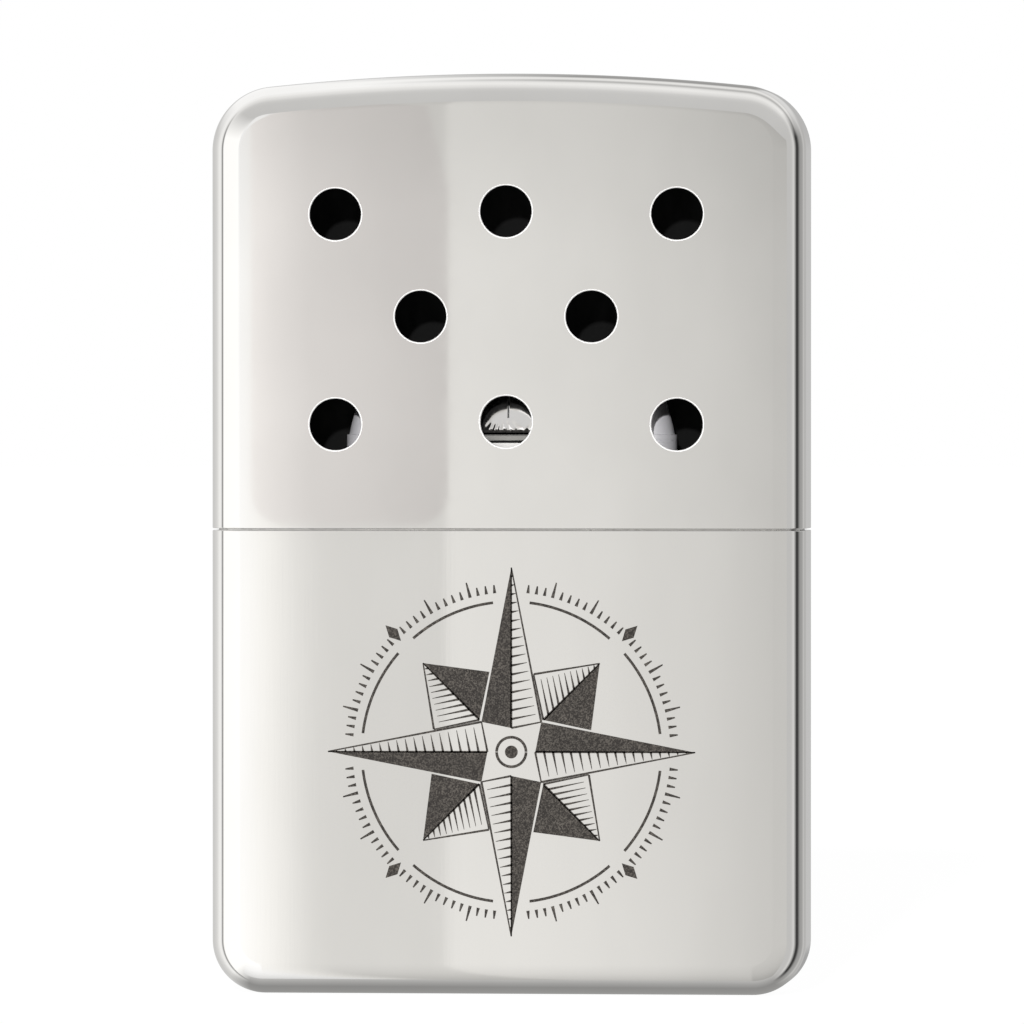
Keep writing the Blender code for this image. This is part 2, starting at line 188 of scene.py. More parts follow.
def mixed(owner, share, first, second, blend="MIX"):
    """Two colours mixed by a share; each of them is a socket or a grey level."""
    made = add_node(owner, "ShaderNodeMix")
    made.data_type = "RGBA"
    made.blend_type = blend
    wire(owner, share, made.inputs[0])
    for index, source in ((6, first), (7, second)):
        grey = isinstance(source, float)
        wire(owner, (source, source, source, 1.0) if grey else source, made.inputs[index])
    return made.outputs[2]


def linear(tone):
    """A display tone from 0 to 255 as linear light."""
    share = tone / 255
    return ((share + 0.055) / 1.055) ** 2.4 if share > 0.04045 else share / 12.92

# %% [markdown]
# ## Chrome and steel
# Metal is mostly what it mirrors, so the base colour stays simple and the life is in the roughness and
# relief. Each metal mixes two patterns: a fine grain, stretched along the way it was polished or brushed,
# and broad faint smudges. Both move the roughness, and the grain also gives a relief, from well under a
# thousandth of a millimetre on polished chrome to two hundredths on solder. Thin crumpled sheet and dull
# plating scatter light nearly as widely as a painted surface does, so these are less than fully metallic.
# A few colours are painted light: the near-black and dark grey ones are painted shade inside the cups, on
# the burner's collar and along the cover's foot, and the near-white, half-matt vent edges are a painted
# highlight.

# %% Metal recipe
SMUDGE_SHARE = 0.965


def metal(name, colour, roughness, grain, smudge, relief, metallic=1.0):
    """A bare metal. roughness is its (lowest, highest), grain and smudge are cells per metre on each axis."""
    material, shader = new_material(name)
    fine = stretched_noise(material, grain, detail=4.0, roughness=0.6)
    broad = stretched_noise(material, smudge)
    both = calculate(material, "ADD", fine, broad)
    tint = [(0.35, tuple(SMUDGE_SHARE * part for part in colour)), (0.65, colour)]
    feed(
        material,
        shader,
        Metallic=metallic,
        Roughness=remap(material, both, 0.75, 1.25, *roughness),
        Base_Color=ramp(material, broad, tint),
        Normal=raised(material, fine, relief),
    )
    return material

# %% Metals
CHROME_COLOUR = (0.860, 0.853, 0.838)
polished_chrome = metal(
    "polished_chrome", CHROME_COLOUR, (0.030, 0.055), (420, 420, 700), (90, 90, 60), 0.0000002
)
satin_chrome = metal(
    "satin_chrome", CHROME_COLOUR, (0.040, 0.080), (3800, 3800, 90), (80, 80, 30), 0.0000006
)
# Near white and half matt: a painted highlight, the bright ring round each vent.
painted_highlight_vent_edge = metal(
    "painted_highlight_vent_edge", (0.95, 0.94, 0.93), (0.30, 0.42), (900, 900, 900), (300, 300, 300), 0.000001, 0.35
)
# Near black: painted shade on the inner sides of the cups and in the collar's groove.
painted_shade_dark = metal(
    "painted_shade_dark", (0.03, 0.03, 0.03), (0.55, 0.75), (900, 900, 200), (120, 120, 120), 0.000004, 0.8
)
tank_steel = metal(
    "tank_steel", (0.72, 0.71, 0.69), (0.26, 0.40), (2600, 2600, 160), (150, 150, 90), 0.0000015, 0.95
)
collar_steel = metal(
    "collar_steel", (0.86, 0.85, 0.83), (0.24, 0.38), (2600, 2600, 160), (150, 150, 90), 0.0000025, 0.5
)
# Dark grey: painted shade on the collar's flange, under the cover.
painted_shade_flange_steel = metal(
    "painted_shade_flange_steel", (0.31, 0.305, 0.29), (0.30, 0.45), (2600, 2600, 160), (150, 150, 90), 0.0000025, 0.5
)
burner_steel = metal(
    "burner_steel", (0.95, 0.94, 0.93), (0.05, 0.11), (900, 900, 900), (420, 420, 300), 0.0000015, 0.99
)
# Dark: painted shade along the cover's crimped foot.
painted_shade_foot_steel = metal(
    "painted_shade_foot_steel", (0.19, 0.185, 0.18), (0.14, 0.30), (2400, 2400, 2400), (700, 700, 500), 0.0000060, 0.9
)
stretched_steel = metal(
    "stretched_steel", (0.92, 0.91, 0.94), (0.42, 0.55), (900, 900, 900), (420, 420, 300), 0.0000040, 0.5
)
solder = metal("solder", (0.60, 0.60, 0.57), (0.34, 0.55), (1800, 1800, 1800), (500, 500, 500), 0.00002, 0.8)
gauze_wire = metal(
    "gauze_wire", (0.50, 0.48, 0.45), (0.30, 0.50), (5000, 5000, 900), (300, 300, 300), 0.00001
)
print("metals made")

# %% [markdown]
# ## Modelling helpers
# The shapes here are of three kinds: a flat outline drawn to a depth, a profile swept round the obround
# plan of the burner and neck, and flat stamps for the engraving. Modifiers such as Solidify and Boolean are
# baked into the mesh at once, so that each finished piece is a plain closed mesh with its place in it.

# %% Shapes
def arc(centre, radius, start, end, steps):
    """Points along an arc, ends included."""
    angles = [start + (end - start) * step / steps for step in range(steps + 1)]
    return [(centre[0] + radius * math.cos(a), centre[1] + radius * math.sin(a)) for a in angles]


def draw_outline(bm, outline, front, depth):
    """Add a flat outline of (x, z) points at a y, and draw it back by a depth."""
    face = bm.faces.new([bm.verts.new((x, front, z)) for x, z in outline])
    drawn = bmesh.ops.extrude_face_region(bm, geom=[face], use_keep_orig=True)
    back = [item for item in drawn["geom"] if isinstance(item, bmesh.types.BMVert)]
    bmesh.ops.translate(bm, verts=back, vec=(0, depth, 0))


def draw_edges(bm, edges, way):
    """Draw edges along a vector, and give the edges at the far side."""
    drawn = bmesh.ops.extrude_edge_only(bm, edges=edges)["geom"]
    moved = [item for item in drawn if isinstance(item, bmesh.types.BMVert)]
    bmesh.ops.translate(bm, verts=moved, vec=way)
    far = set(moved)
    return [item for item in drawn if isinstance(item, bmesh.types.BMEdge) and far.issuperset(item.verts)]


def add_block(bm, middle, size):
    """Add a box."""
    bmesh.ops.create_cube(bm, size=1, matrix=Matrix.Translation(middle) @ Matrix.Diagonal((*size, 1)))


def face_outwards(bm):
    """Turn the faces of closed shapes so that they point outwards."""
    bmesh.ops.recalc_face_normals(bm, faces=bm.faces)


def round_edges(bm, edges, radius, segments):
    """Round some edges of a bmesh."""
    bmesh.ops.bevel(
        bm,
        geom=edges,
        offset=radius,
        offset_type="OFFSET",
        segments=segments,
        profile=0.5,
        affect="EDGES",
        material=-1,
    )


# %% Objects and modifiers
def new_object(name, bm, *materials):
    """Make an object of a finished bmesh."""
    mesh = bpy.data.meshes.new(name)
    bm.to_mesh(mesh)
    bm.free()
    for material in materials:
        mesh.materials.append(material)
    made = bpy.data.objects.new(name, mesh)
    bpy.context.scene.collection.objects.link(made)
    return made


def modify(piece, kind, **settings):
    """Replace an object's mesh by what one modifier makes of it."""
    modifier = piece.modifiers.new(kind, kind)
    for name, value in settings.items():
        setattr(modifier, name, value)
    graph = bpy.context.evaluated_depsgraph_get()
    piece.data = bpy.data.meshes.new_from_object(piece.evaluated_get(graph))
    piece.modifiers.clear()


def shade(piece, degrees):
    """Smooth shading, with edges sharper than an angle kept, and flat faces that stay flat."""
    piece.data.shade_smooth()
    piece.data.set_sharp_from_angle(angle=math.radians(degrees))
    modify(piece, "WEIGHTED_NORMAL", mode="FACE_AREA", weight=50, keep_sharp=True)


def sheet_thickness(piece, thickness, inner_material=0):
    """Give a skin its thickness, inwards, and its inner side one of the piece's other materials."""
    settings = {"thickness": thickness, "offset": -1, "use_even_offset": True}
    modify(piece, "SOLIDIFY", material_offset=inner_material, **settings)


def cut_out(piece, tool):
    """Cut a tool's bmesh out of a piece."""
    face_outwards(tool)
    cutter = new_object(piece.name + "_tool", tool, *piece.data.materials)
    modify(piece, "BOOLEAN", operation="DIFFERENCE", solver="EXACT", object=cutter)
    bpy.data.objects.remove(cutter, do_unlink=True)


def finish_piece(piece, body, slot, *nodes, sharp=30.0):
    """Shade a piece, and say what it rides on and the solids that it stands for; the slot is not used."""
    if sharp:
        shade(piece, sharp)
    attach(piece, body)
    if nodes:
        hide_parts(*nodes)
    print(f"{piece.name}: {len(piece.data.polygons)} faces")


# %% [markdown]
# ## The two drawn cups
# Each cup of the real warmer is pressed from one sheet, so its outline, its rounded rim and its wall are one
# surface. Both cups are cut from one closed form here, which keeps them flush at the seam. The outline is
# made of arcs, drawn back to the depth, and the two rims are rounded with many segments, because polished
# metal shows every facet.

# %% Closed form of the body
CORNER_STEPS = 28
CROWN_STEPS = 64
RIM_STEPS = 20
SEAM_EDGE_STEPS = 3
# A face counts as level when its normal points up by more than the first, and as a wall below the second.
LEVEL, UPRIGHT = 0.9, 0.1


def front_outline():
    """The outline seen from the front, made of its four corner arcs and the crown."""
    low_x = WIDTH / 2 - BOTTOM_CORNER
    top_x = WIDTH / 2 - TOP_CORNER
    crown_z = HEIGHT - CROWN_RADIUS
    top_z = crown_z + math.sqrt((CROWN_RADIUS - TOP_CORNER) ** 2 - top_x**2)
    tangent = math.atan2(top_z - crown_z, top_x)
    right = arc((low_x, BOTTOM_CORNER), BOTTOM_CORNER, -math.pi / 2, 0, CORNER_STEPS)
    right += arc((top_x, top_z), TOP_CORNER, 0, tangent, CORNER_STEPS)
    crown = arc((0, crown_z), CROWN_RADIUS, tangent, math.pi - tangent, CROWN_STEPS)[1:-1]
    return right + crown + [(-x, z) for x, z in reversed(right)]


def closed_body():
    """The outline drawn back to the body's depth, with both rims rounded."""
    bm = bmesh.new()
    draw_outline(bm, front_outline(), FACE_Y, DEPTH)
    face_outwards(bm)
    rims = [edge for edge in bm.edges if abs(edge.verts[0].co.y - edge.verts[1].co.y) < TINY]
    round_edges(bm, rims, RIM_RADIUS, RIM_STEPS)
    return bm


def cup(name, seam, upper, *materials):
    """One half of the body, cut at the seam, as a sheet with a softened edge and an inside painted dark as
    shade.
    """
    bm = closed_body()
    bmesh.ops.bisect_plane(
        bm,
        geom=bm.verts[:] + bm.edges[:] + bm.faces[:],
        dist=TINY,
        plane_co=(0, 0, seam),
        plane_no=(0, 0, 1),
        clear_inner=upper,
        clear_outer=not upper,
    )
    piece = new_object(name, bm, *materials)
    sheet_thickness(piece, SHEET, inner_material=1)
    bm = bmesh.new()
    bm.from_mesh(piece.data)
    lip = [
        edge
        for edge in bm.edges
        if all(abs(vert.co.z - seam) < 2 * TINY for vert in edge.verts)
        and any(len(face.verts) == 4 and abs(face.normal.z) > LEVEL for face in edge.link_faces)
        and any(abs(face.normal.z) < UPRIGHT for face in edge.link_faces)
    ]
    round_edges(bm, lip, SEAM_EDGE, SEAM_EDGE_STEPS)
    print(f"{name}: {len(lip)} edges softened at the seam")
    bm.to_mesh(piece.data)
    bm.free()
    return piece


# %% [markdown]
# ## Vents
# The eight vents are punched through the front of the lid, and polishing leaves their edges rounded, which
# shows as a bright ring round each one. A cylinder alone would leave a knife edge. So the tool is a turned
# shape that flares out as it reaches the surface, and the cut takes that rounding from it. The Boolean also
# hands over the tool's material numbers, so the flare gets a near-white, half-matt material of its own: a
# painted highlight for the bright ring.

# %% Lid with vents
VENT_RADIUS = 0.0028
VENT_EDGE = 0.00016
VENT_PITCH = 0.0186
VENT_ROW_PITCH = 0.0114
VENT_ROW_SHARE = 0.4667
VENT_OUTER_DROP = 0.0003
VENT_STEPS = 96
EDGE_STEPS = 5
EDGE_MATERIAL = 2


def vent_centres():
    """Middle points of the vents, in rows of two, three and three."""
    seam = (case_high.z + lid_low.z) / 2
    middle = seam + VENT_ROW_SHARE * (HEIGHT - seam)
    centres = [(side * VENT_PITCH / 2, middle) for side in (-1, 1)]
    for row in (middle + VENT_ROW_PITCH, middle - VENT_ROW_PITCH):
        centres.append((0, row))
        centres += [(side * VENT_PITCH, row - VENT_OUTER_DROP) for side in (-1, 1)]
    return centres


def vent_tool(bm, x, z):
    """Add one flared, turned punch to a bmesh."""
    flare = [
        (VENT_RADIUS + VENT_EDGE * (1 - math.sin(turn)), VENT_EDGE * (1 - math.cos(turn)))
        for turn in [math.pi / 2 * step / EDGE_STEPS for step in range(EDGE_STEPS + 1)]
    ]
    profile = [(0, -OVERRUN), (VENT_RADIUS + VENT_EDGE, -OVERRUN)] + flare
    profile += [(VENT_RADIUS, SHEET + OVERRUN), (0, SHEET + OVERRUN)]
    line = [bm.verts.new((x + radius, FACE_Y + depth, z)) for radius, depth in profile]
    edges = [bm.edges.new(pair) for pair in zip(line, line[1:])]
    older = set(bm.faces)
    bmesh.ops.spin(
        bm,
        geom=line + edges,
        cent=(x, 0, z),
        axis=(0, 1, 0),
        angle=2 * math.pi,
        steps=VENT_STEPS,
        use_merge=True,
    )
    # The flare's faces take the painted highlight material.
    for face in set(bm.faces) - older:
        if TINY < face.calc_center_median().y - FACE_Y < VENT_EDGE:
            face.material_index = EDGE_MATERIAL


lid = cup("lid", lid_low.z, True, polished_chrome, painted_shade_dark, painted_highlight_vent_edge)
punches = bmesh.new()
for vent_x, vent_z in vent_centres():
    vent_tool(punches, vent_x, vent_z)
bmesh.ops.remove_doubles(punches, verts=punches.verts, dist=TINY)
cut_out(lid, punches)
finish_piece(lid, "lid", "polished_chrome", "lid_shell")

# %% Case
case = cup("case", case_high.z, False, satin_chrome, painted_shade_dark)
finish_piece(case, "case", "satin_chrome", "case_shell")

# %% [markdown]
# ## Sweeping round the obround plan
# The neck, the collar and the burner are all obround: two half circles joined by straight sides. A profile
# is drawn once, turned round one end with Spin, drawn along the straight, turned round the other end and
# drawn back. The straight gets several steps too, so that the burner's sheet can be wrinkled later.

# %% Obround sweep
collar_low, collar_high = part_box("burner_collar")
burner_low, burner_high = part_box("burner_shell")
neck_low, neck_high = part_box("filler_neck")
BURNER_RADIUS = burner_high.y
REACH = burner_high.x - BURNER_RADIUS
END_STEPS = 40
STRAIGHT_STEPS = 60
SHORTEST_SHARE = 0.45


def sweep_obround(profile, closed, straight_steps=1):
    """A ring or skin from (radius, height) points, swept round the obround plan."""
    bm = bmesh.new()
    line = [bm.verts.new((REACH, -radius, height)) for radius, height in profile]
    edges = [bm.edges.new(pair) for pair in zip(line, line[1:])]
    if closed:
        edges.append(bm.edges.new((line[-1], line[0])))
    for centre in (REACH, -REACH):
        turned = bmesh.ops.spin(
            bm, geom=edges, cent=(centre, 0, 0), axis=(0, 0, 1), angle=math.pi, steps=END_STEPS
        )
        edges = [item for item in turned["geom_last"] if isinstance(item, bmesh.types.BMEdge)]
        for _ in range(straight_steps):
            edges = draw_edges(bm, edges, (-2 * centre / straight_steps, 0, 0))
    bmesh.ops.remove_doubles(bm, verts=bm.verts, dist=TINY)
    face_outwards(bm)
    return bm


def obround_plug(profile):
    """A solid with flat ends, whose side follows the profile."""
    bm = sweep_obround(profile, closed=False)
    ends = [edge for edge in bm.edges if edge.is_boundary]
    bmesh.ops.holes_fill(bm, edges=ends)
    face_outwards(bm)
    return bm


def softened(corners, radius, steps=3):
    """A closed profile with each of its corners rounded by an arc of quadratic points."""
    rounded = []
    count = len(corners)
    for index in range(count):
        before, here, after = (Vector(corners[(index + step) % count]) for step in (-1, 0, 1))
        shortest = min((before - here).length, (after - here).length)
        reach = min(radius, shortest * SHORTEST_SHARE)
        start = here + (before - here).normalized() * reach
        end = here + (after - here).normalized() * reach
        for step in range(steps + 1):
            share = step / steps
            point = start * (1 - share) ** 2 + here * 2 * share * (1 - share) + end * share**2
            rounded.append(tuple(point))
    return rounded


def strip_section(near, far, low, high, edge, steps=3):
    """The section of a strip between two radii and two heights, with rounded corners."""
    return softened([(near, low), (far, low), (far, high), (near, high)], edge, steps)


print(f"obround ends {REACH * 1000:.2f} mm to each side, {BURNER_RADIUS * 1000:.2f} mm round")


# %% [markdown]
# ## Tank shoulder, neck and solder
# Under the lid stands the shoulder, a drawn tray that the lid slides over. It is made as an open box from
# its own plan, given its sheet thickness, and cut out for the neck. The neck and its solder ring are swept.

# %% Shoulder
SHOULDER_SHEET = 0.0004
SHOULDER_EDGE = 0.0010
SHOULDER_EDGE_STEPS = 8
SHOULDER_PLAN_RADIUS = RIM_RADIUS - (lid_high.y - shoulder_high.y)
NECK_WALL = 0.0004
NECK_LIP = 0.0007
NECK_RADIUS = neck_high.y - NECK_LIP
FIT_GAP = 0.0002


def shoulder_plan():
    """Plan outline of the shoulder, from its box and corner radius."""
    x = shoulder_high.x - SHOULDER_PLAN_RADIUS
    y = shoulder_high.y - SHOULDER_PLAN_RADIUS
    plan = []
    for quarter, (across, deep) in enumerate(((x, y), (-x, y), (-x, -y), (x, -y))):
        start = quarter * math.pi / 2
        plan += arc((across, deep), SHOULDER_PLAN_RADIUS, start, start + math.pi / 2, CORNER_STEPS)
    return plan


bm = bmesh.new()
deck = bm.faces.new([bm.verts.new((x, y, shoulder_high.z)) for x, y in shoulder_plan()])
deck_rim = list(deck.edges)
draw_edges(bm, deck_rim, (0, 0, shoulder_low.z - shoulder_high.z))
round_edges(bm, deck_rim, SHOULDER_EDGE, SHOULDER_EDGE_STEPS)
face_outwards(bm)
shoulder = new_object("shoulder", bm, tank_steel)
sheet_thickness(shoulder, SHOULDER_SHEET)
opening = NECK_RADIUS + FIT_GAP
neck_tool = obround_plug([
    (opening, shoulder_high.z - SHOULDER_SHEET - OVERRUN), (opening, shoulder_high.z + OVERRUN)
])
cut_out(shoulder, neck_tool)
finish_piece(shoulder, "case", "tank_steel", "tank_shoulder")

# %% Neck and solder ring
NECK_EDGE = 0.00012
SOLDER_STEPS = 6
SOLDER_DIP = 0.00006
SOLDER_CELLS = 1500
inner = NECK_RADIUS - NECK_WALL
lip_top = shoulder_high.z - SHOULDER_SHEET - FIT_GAP
neck_profile = [
    (inner, neck_high.z),
    (NECK_RADIUS, neck_high.z),
    (NECK_RADIUS, lip_top),
    (NECK_RADIUS + NECK_LIP, lip_top),
    (NECK_RADIUS + NECK_LIP, lip_top - NECK_WALL),
    (NECK_RADIUS, lip_top - NECK_WALL),
    (NECK_RADIUS, neck_low.z),
    (inner, neck_low.z),
]
neck = new_object("neck", sweep_obround(softened(neck_profile, NECK_EDGE), closed=True), tank_steel)
finish_piece(neck, "case", "tank_steel", "filler_neck")

ring_low, ring_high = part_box("neck_solder_ring")
ring_near = NECK_RADIUS + FIT_GAP
ring_far = ring_high.y
ring_rise = ring_high.z - ring_low.z
ring_width = ring_far - ring_near
fillet = [(ring_near, ring_low.z), (ring_far, ring_low.z)]
fillet += [
    (ring_far - ring_width * math.sin(turn), ring_high.z - ring_rise * math.cos(turn))
    for turn in [math.pi / 2 * step / SOLDER_STEPS for step in range(1, SOLDER_STEPS + 1)]
]
bm = sweep_obround(fillet, closed=True, straight_steps=STRAIGHT_STEPS)
for vert in bm.verts:
    share = (vert.co.z - ring_low.z) / ring_rise
    vert.co.z -= SOLDER_DIP * share * (0.5 + 0.5 * noise.noise(vert.co * SOLDER_CELLS))
solder_ring = new_object("solder_ring", bm, solder)
finish_piece(solder_ring, "case", "solder", "neck_solder_ring", sharp=60)

# %% [markdown]
# ## Burner
# The collar is a turned-looking obround ring: a skirt that grips the neck, a groove, and a flange. The
# groove is painted near black and the flange dark grey, as shade. The cover is thin bright sheet, pressed
# over the flange. Pressing leaves small wrinkles along its lower edge, which is painted dark as shade, and
# the sheet above stays slightly uneven. These are real dents in the mesh, made by moving points.
# Round the two ends the sheet is stretched instead, so it is smooth and matt there, and the groove runs out.

# %% Places round the burner
END_FADE = 0.0012
PERIMETER = 2 * math.pi * BURNER_RADIUS + 4 * REACH


def end_share(point):
    """0 along the straight sides of the burner, rising to 1 round its ends."""
    share = min(1.0, max(0.0, (abs(point.x) - REACH) / END_FADE))
    return share * share * (3 - 2 * share)


def from_line(point):
    """The level vector to a point from the middle line of the obround plan."""
    return point - Vector((max(-REACH, min(REACH, point.x)), 0, point.z))


def along_plan(point):
    """How far round the obround plan a point lies, from the middle of its front."""
    if abs(point.x) <= REACH:
        return point.x if point.y < 0 else PERIMETER / 2 - point.x
    side = math.copysign(1, point.x)
    turn = math.atan2(point.x * side - REACH, -point.y)
    return side * (REACH + BURNER_RADIUS * turn)


print(f"once round the burner is {PERIMETER * 1000:.1f} mm")

# %% Collar
COLLAR_RADIUS = collar_high.y
COLLAR_EDGE = 0.00009
NECK_SLIP = 0.00025
COLLAR_PLATE = 0.0011
GROOVE_DROP = 0.00090
PLATE_CHAMFER = 0.00015
GROOVE_HEIGHT = 0.00024
GROOVE_DEPTH = 0.00025
COLLAR_MOUTH = 0.0033
IN_GROOVE, ON_PLATE, AT_ENDS = 1, 2, 3
bore = NECK_RADIUS + NECK_SLIP
plate_low = collar_high.z - COLLAR_PLATE
chamfer_low = collar_high.z - PLATE_CHAMFER
groove_low = collar_high.z - GROOVE_DROP
groove_high = groove_low + GROOVE_HEIGHT
collar_profile = [
    (bore, collar_low.z),
    (COLLAR_RADIUS, collar_low.z),
    (COLLAR_RADIUS, groove_low),
    (COLLAR_RADIUS - GROOVE_DEPTH, groove_low),
    (COLLAR_RADIUS - GROOVE_DEPTH, groove_high),
    (COLLAR_RADIUS, groove_high),
    (COLLAR_RADIUS, chamfer_low),
    (COLLAR_RADIUS - 2 * PLATE_CHAMFER, collar_high.z),
    (COLLAR_MOUTH, collar_high.z),
    (COLLAR_MOUTH, plate_low),
    (bore, plate_low),
]
bm = sweep_obround(softened(collar_profile, COLLAR_EDGE), closed=True)
for vert in bm.verts:
    away = from_line(vert.co)
    in_groove = groove_low - TINY < vert.co.z < groove_high + TINY
    in_groove = in_groove and away.length > COLLAR_RADIUS - GROOVE_DEPTH - TINY
    on_chamfer = vert.co.z > chamfer_low - TINY and away.length > COLLAR_RADIUS - 2 * PLATE_CHAMFER
    if in_groove or on_chamfer:
        vert.co += away.normalized() * (COLLAR_RADIUS - away.length) * end_share(vert.co)
# Groove faces are painted near black and the flange above it dark grey, both as shade.
for face in bm.faces:
    middle = face.calc_center_median()
    if end_share(middle) > 0.5:
        face.material_index = AT_ENDS
    elif middle.z > groove_high:
        face.material_index = ON_PLATE
    elif middle.z > groove_low and from_line(middle).length < COLLAR_RADIUS - GROOVE_DEPTH / 4:
        face.material_index = IN_GROOVE
collar = new_object("collar", bm, collar_steel, painted_shade_dark, painted_shade_flange_steel, stretched_steel)
finish_piece(collar, "burner", "tank_steel", "burner_collar")

# %% Cover of the burner
COVER_SHEET = 0.0003
COVER_UPPER_RADIUS = 0.0034
LEAN_HEIGHT = 0.0043
COVER_FILLET = 0.0012
COVER_MOUTH = 0.0017
SLITS = 7
SLIT_WIDTH = 0.00024
SLIT_PITCH = 0.0042
SLIT_SILL = 0.0018
SLIT_HEIGHT = 0.0052
CRIMP_HEIGHT = 0.0012
CRIMP_DEPTH = 0.00015
CRIMPS = 96
CRIMP_SLANT = 26000
SHADED_FOOT_BAND = 0.00032
CRIMP_FADE = 1.3
EVEN_PRESS, UNEVEN_PRESS = 0.55, 0.45
FOOT_DROP_SHARE = 0.95
TUCK_HEIGHT = 0.00050
TUCK_DEPTH = 0.00040
DENT = 0.000012
SIDE_STEPS = 30
SIDE_CROWDING = 1.6
FILLET_STEPS = 8
COVER_STRAIGHT_STEPS = 400
STRETCHED, PAINTED_SHADE_FOOT = 1, 2
# Noise cells per metre, for the place, slant and depth of the crimps, the ragged band of painted shade
# along them, and the dents.
WANDER_CELLS = 700
SLANT_CELLS = 330
PRESS_CELLS = 900
BAND_CELLS = 2600
DENT_CELLS = Vector((420, 420, 900))
WANDER_TURN = 3.0


def cover_side(height):
    """Outer radius of the cover at a height: it leans in from its foot, then stands upright."""
    share = min(1.0, max(0.0, (height - burner_low.z) / LEAN_HEIGHT))
    return BURNER_RADIUS + (COVER_UPPER_RADIUS - BURNER_RADIUS) * share


def tuck(height):
    """How far the foot of the cover is pressed in, under the flange."""
    share = max(0.0, 1 - (height - burner_low.z) / TUCK_HEIGHT)
    return TUCK_DEPTH * share**2


def wrinkled(bm):
    """Press crimps into the lower edge of the cover and small dents into its side."""
    for vert in bm.verts:
        height = vert.co.z - burner_low.z
        if vert.co.z > burner_high.z - COVER_FILLET:
            continue
        around = Vector((vert.co.x, vert.co.y, 0))
        wander = WANDER_TURN * noise.noise(around * WANDER_CELLS)
        slant = CRIMP_SLANT * height * noise.noise(around * SLANT_CELLS + Vector((0, 0, 5)))
        straight = 1 - end_share(vert.co)
        fade = straight * max(0.0, 1 - height / CRIMP_HEIGHT)
        press = EVEN_PRESS + UNEVEN_PRESS * noise.noise(around * PRESS_CELLS + Vector((0, 0, 9)))
        fold = math.cos(2 * math.pi * CRIMPS * along_plan(vert.co) / PERIMETER + wander + slant)
        dent = DENT * noise.noise(Vector((vert.co.x, vert.co.y, height)) * DENT_CELLS)
        pressed_in = tuck(vert.co.z) * straight
        moved = CRIMP_DEPTH * fade**CRIMP_FADE * press * fold - DENT / 2 + dent - pressed_in
        vert.co += from_line(vert.co).normalized() * moved
        if height < TUCK_HEIGHT:
            drop = FOOT_DROP_SHARE * (burner_low.z - collar_high.z)
            vert.co.z -= drop * (1 - straight) * (1 - height / TUCK_HEIGHT)
    face_outwards(bm)


bend = (COVER_UPPER_RADIUS - COVER_FILLET, burner_high.z - COVER_FILLET)
side_heights = [
    burner_low.z + (bend[1] - burner_low.z) * (step / SIDE_STEPS) ** SIDE_CROWDING
    for step in range(SIDE_STEPS)
]
cover_profile = [(cover_side(height), height) for height in side_heights]
cover_profile += arc(bend, COVER_FILLET, 0, math.pi / 2, FILLET_STEPS)
cover_profile += [(COVER_MOUTH, burner_high.z), (COVER_MOUTH, burner_high.z - COVER_SHEET)]
cover_profile += arc(bend, COVER_FILLET - COVER_SHEET, math.pi / 2, 0, FILLET_STEPS)
cover_profile += [(cover_side(height) - COVER_SHEET, height) for height in reversed(side_heights)]
bm = sweep_obround(cover_profile, closed=True, straight_steps=COVER_STRAIGHT_STEPS)
wrinkled(bm)
# A ragged band along the foot of the straight sides is painted dark as shade.
for face in bm.faces:
    middle = face.calc_center_median()
    ragged = 1 + 0.5 * noise.noise(Vector((middle.x, middle.y, 0)) * BAND_CELLS)
    if end_share(middle) > 0.5:
        face.material_index = STRETCHED
    elif middle.z < burner_low.z + SHADED_FOOT_BAND * ragged:
        face.material_index = PAINTED_SHADE_FOOT
cover = new_object("burner_cover", bm, burner_steel, stretched_steel, painted_shade_foot_steel)
blades = bmesh.new()
for index in range(SLITS):
    blade_x = (index - (SLITS - 1) / 2) * SLIT_PITCH
    middle = (blade_x, 0, collar_high.z + SLIT_SILL + SLIT_HEIGHT / 2)
    add_block(blades, middle, (SLIT_WIDTH, 2 * (BURNER_RADIUS + OVERRUN), SLIT_HEIGHT))
cut_out(cover, blades)
finish_piece(cover, "burner", "burner_steel", "burner_shell", sharp=35)

# %% [markdown]
# ## Soft fillings
# Felt, cotton and glass fibre have no sharp edges and no flat faces. Each one here is a rounded plug or
# block with plenty of faces, whose points are then pushed inwards by noise, so it never grows past the
# space that the solid keeps for it. The colour and a fine relief follow the same kind of noise.

# %% Fibre materials
def fibre(name, dark, light, strands, relief):
    """A matt fibrous material; strands are noise cells per metre on each axis."""
    material, shader = new_material(name)
    fine = stretched_noise(material, strands, detail=6.0, roughness=0.7)
    colour = ramp(material, fine, [(0.35, dark), (0.65, light)])
    feed(material, shader, Base_Color=colour, Normal=raised(material, fine, relief), Roughness=0.92)
    feed(material, shader, Sheen_Weight=0.25, Sheen_Roughness=0.60)
    return material


catalyst_fibre = fibre("catalyst_fibre", (0.20, 0.20, 0.20), (0.46, 0.46, 0.45), (900, 2600, 2600), 0.00012)
felt = fibre("felt", (0.62, 0.60, 0.54), (0.86, 0.84, 0.78), (2400, 2400, 2400), 0.00010)
cotton = fibre("cotton", (0.78, 0.77, 0.73), (0.92, 0.91, 0.88), (1100, 1100, 1500), 0.00016)
print("fibre materials made")

# %% Plugs of felt and glass fibre
PLUG_RINGS = 6
PLUG_EDGE_STEPS = 6
PLUG_SIDE_STEPS = 30
# How fast finer tufts fade, how much finer each size is, and how many sizes there are.
TUFTS = (0.8, 2.0, 3)


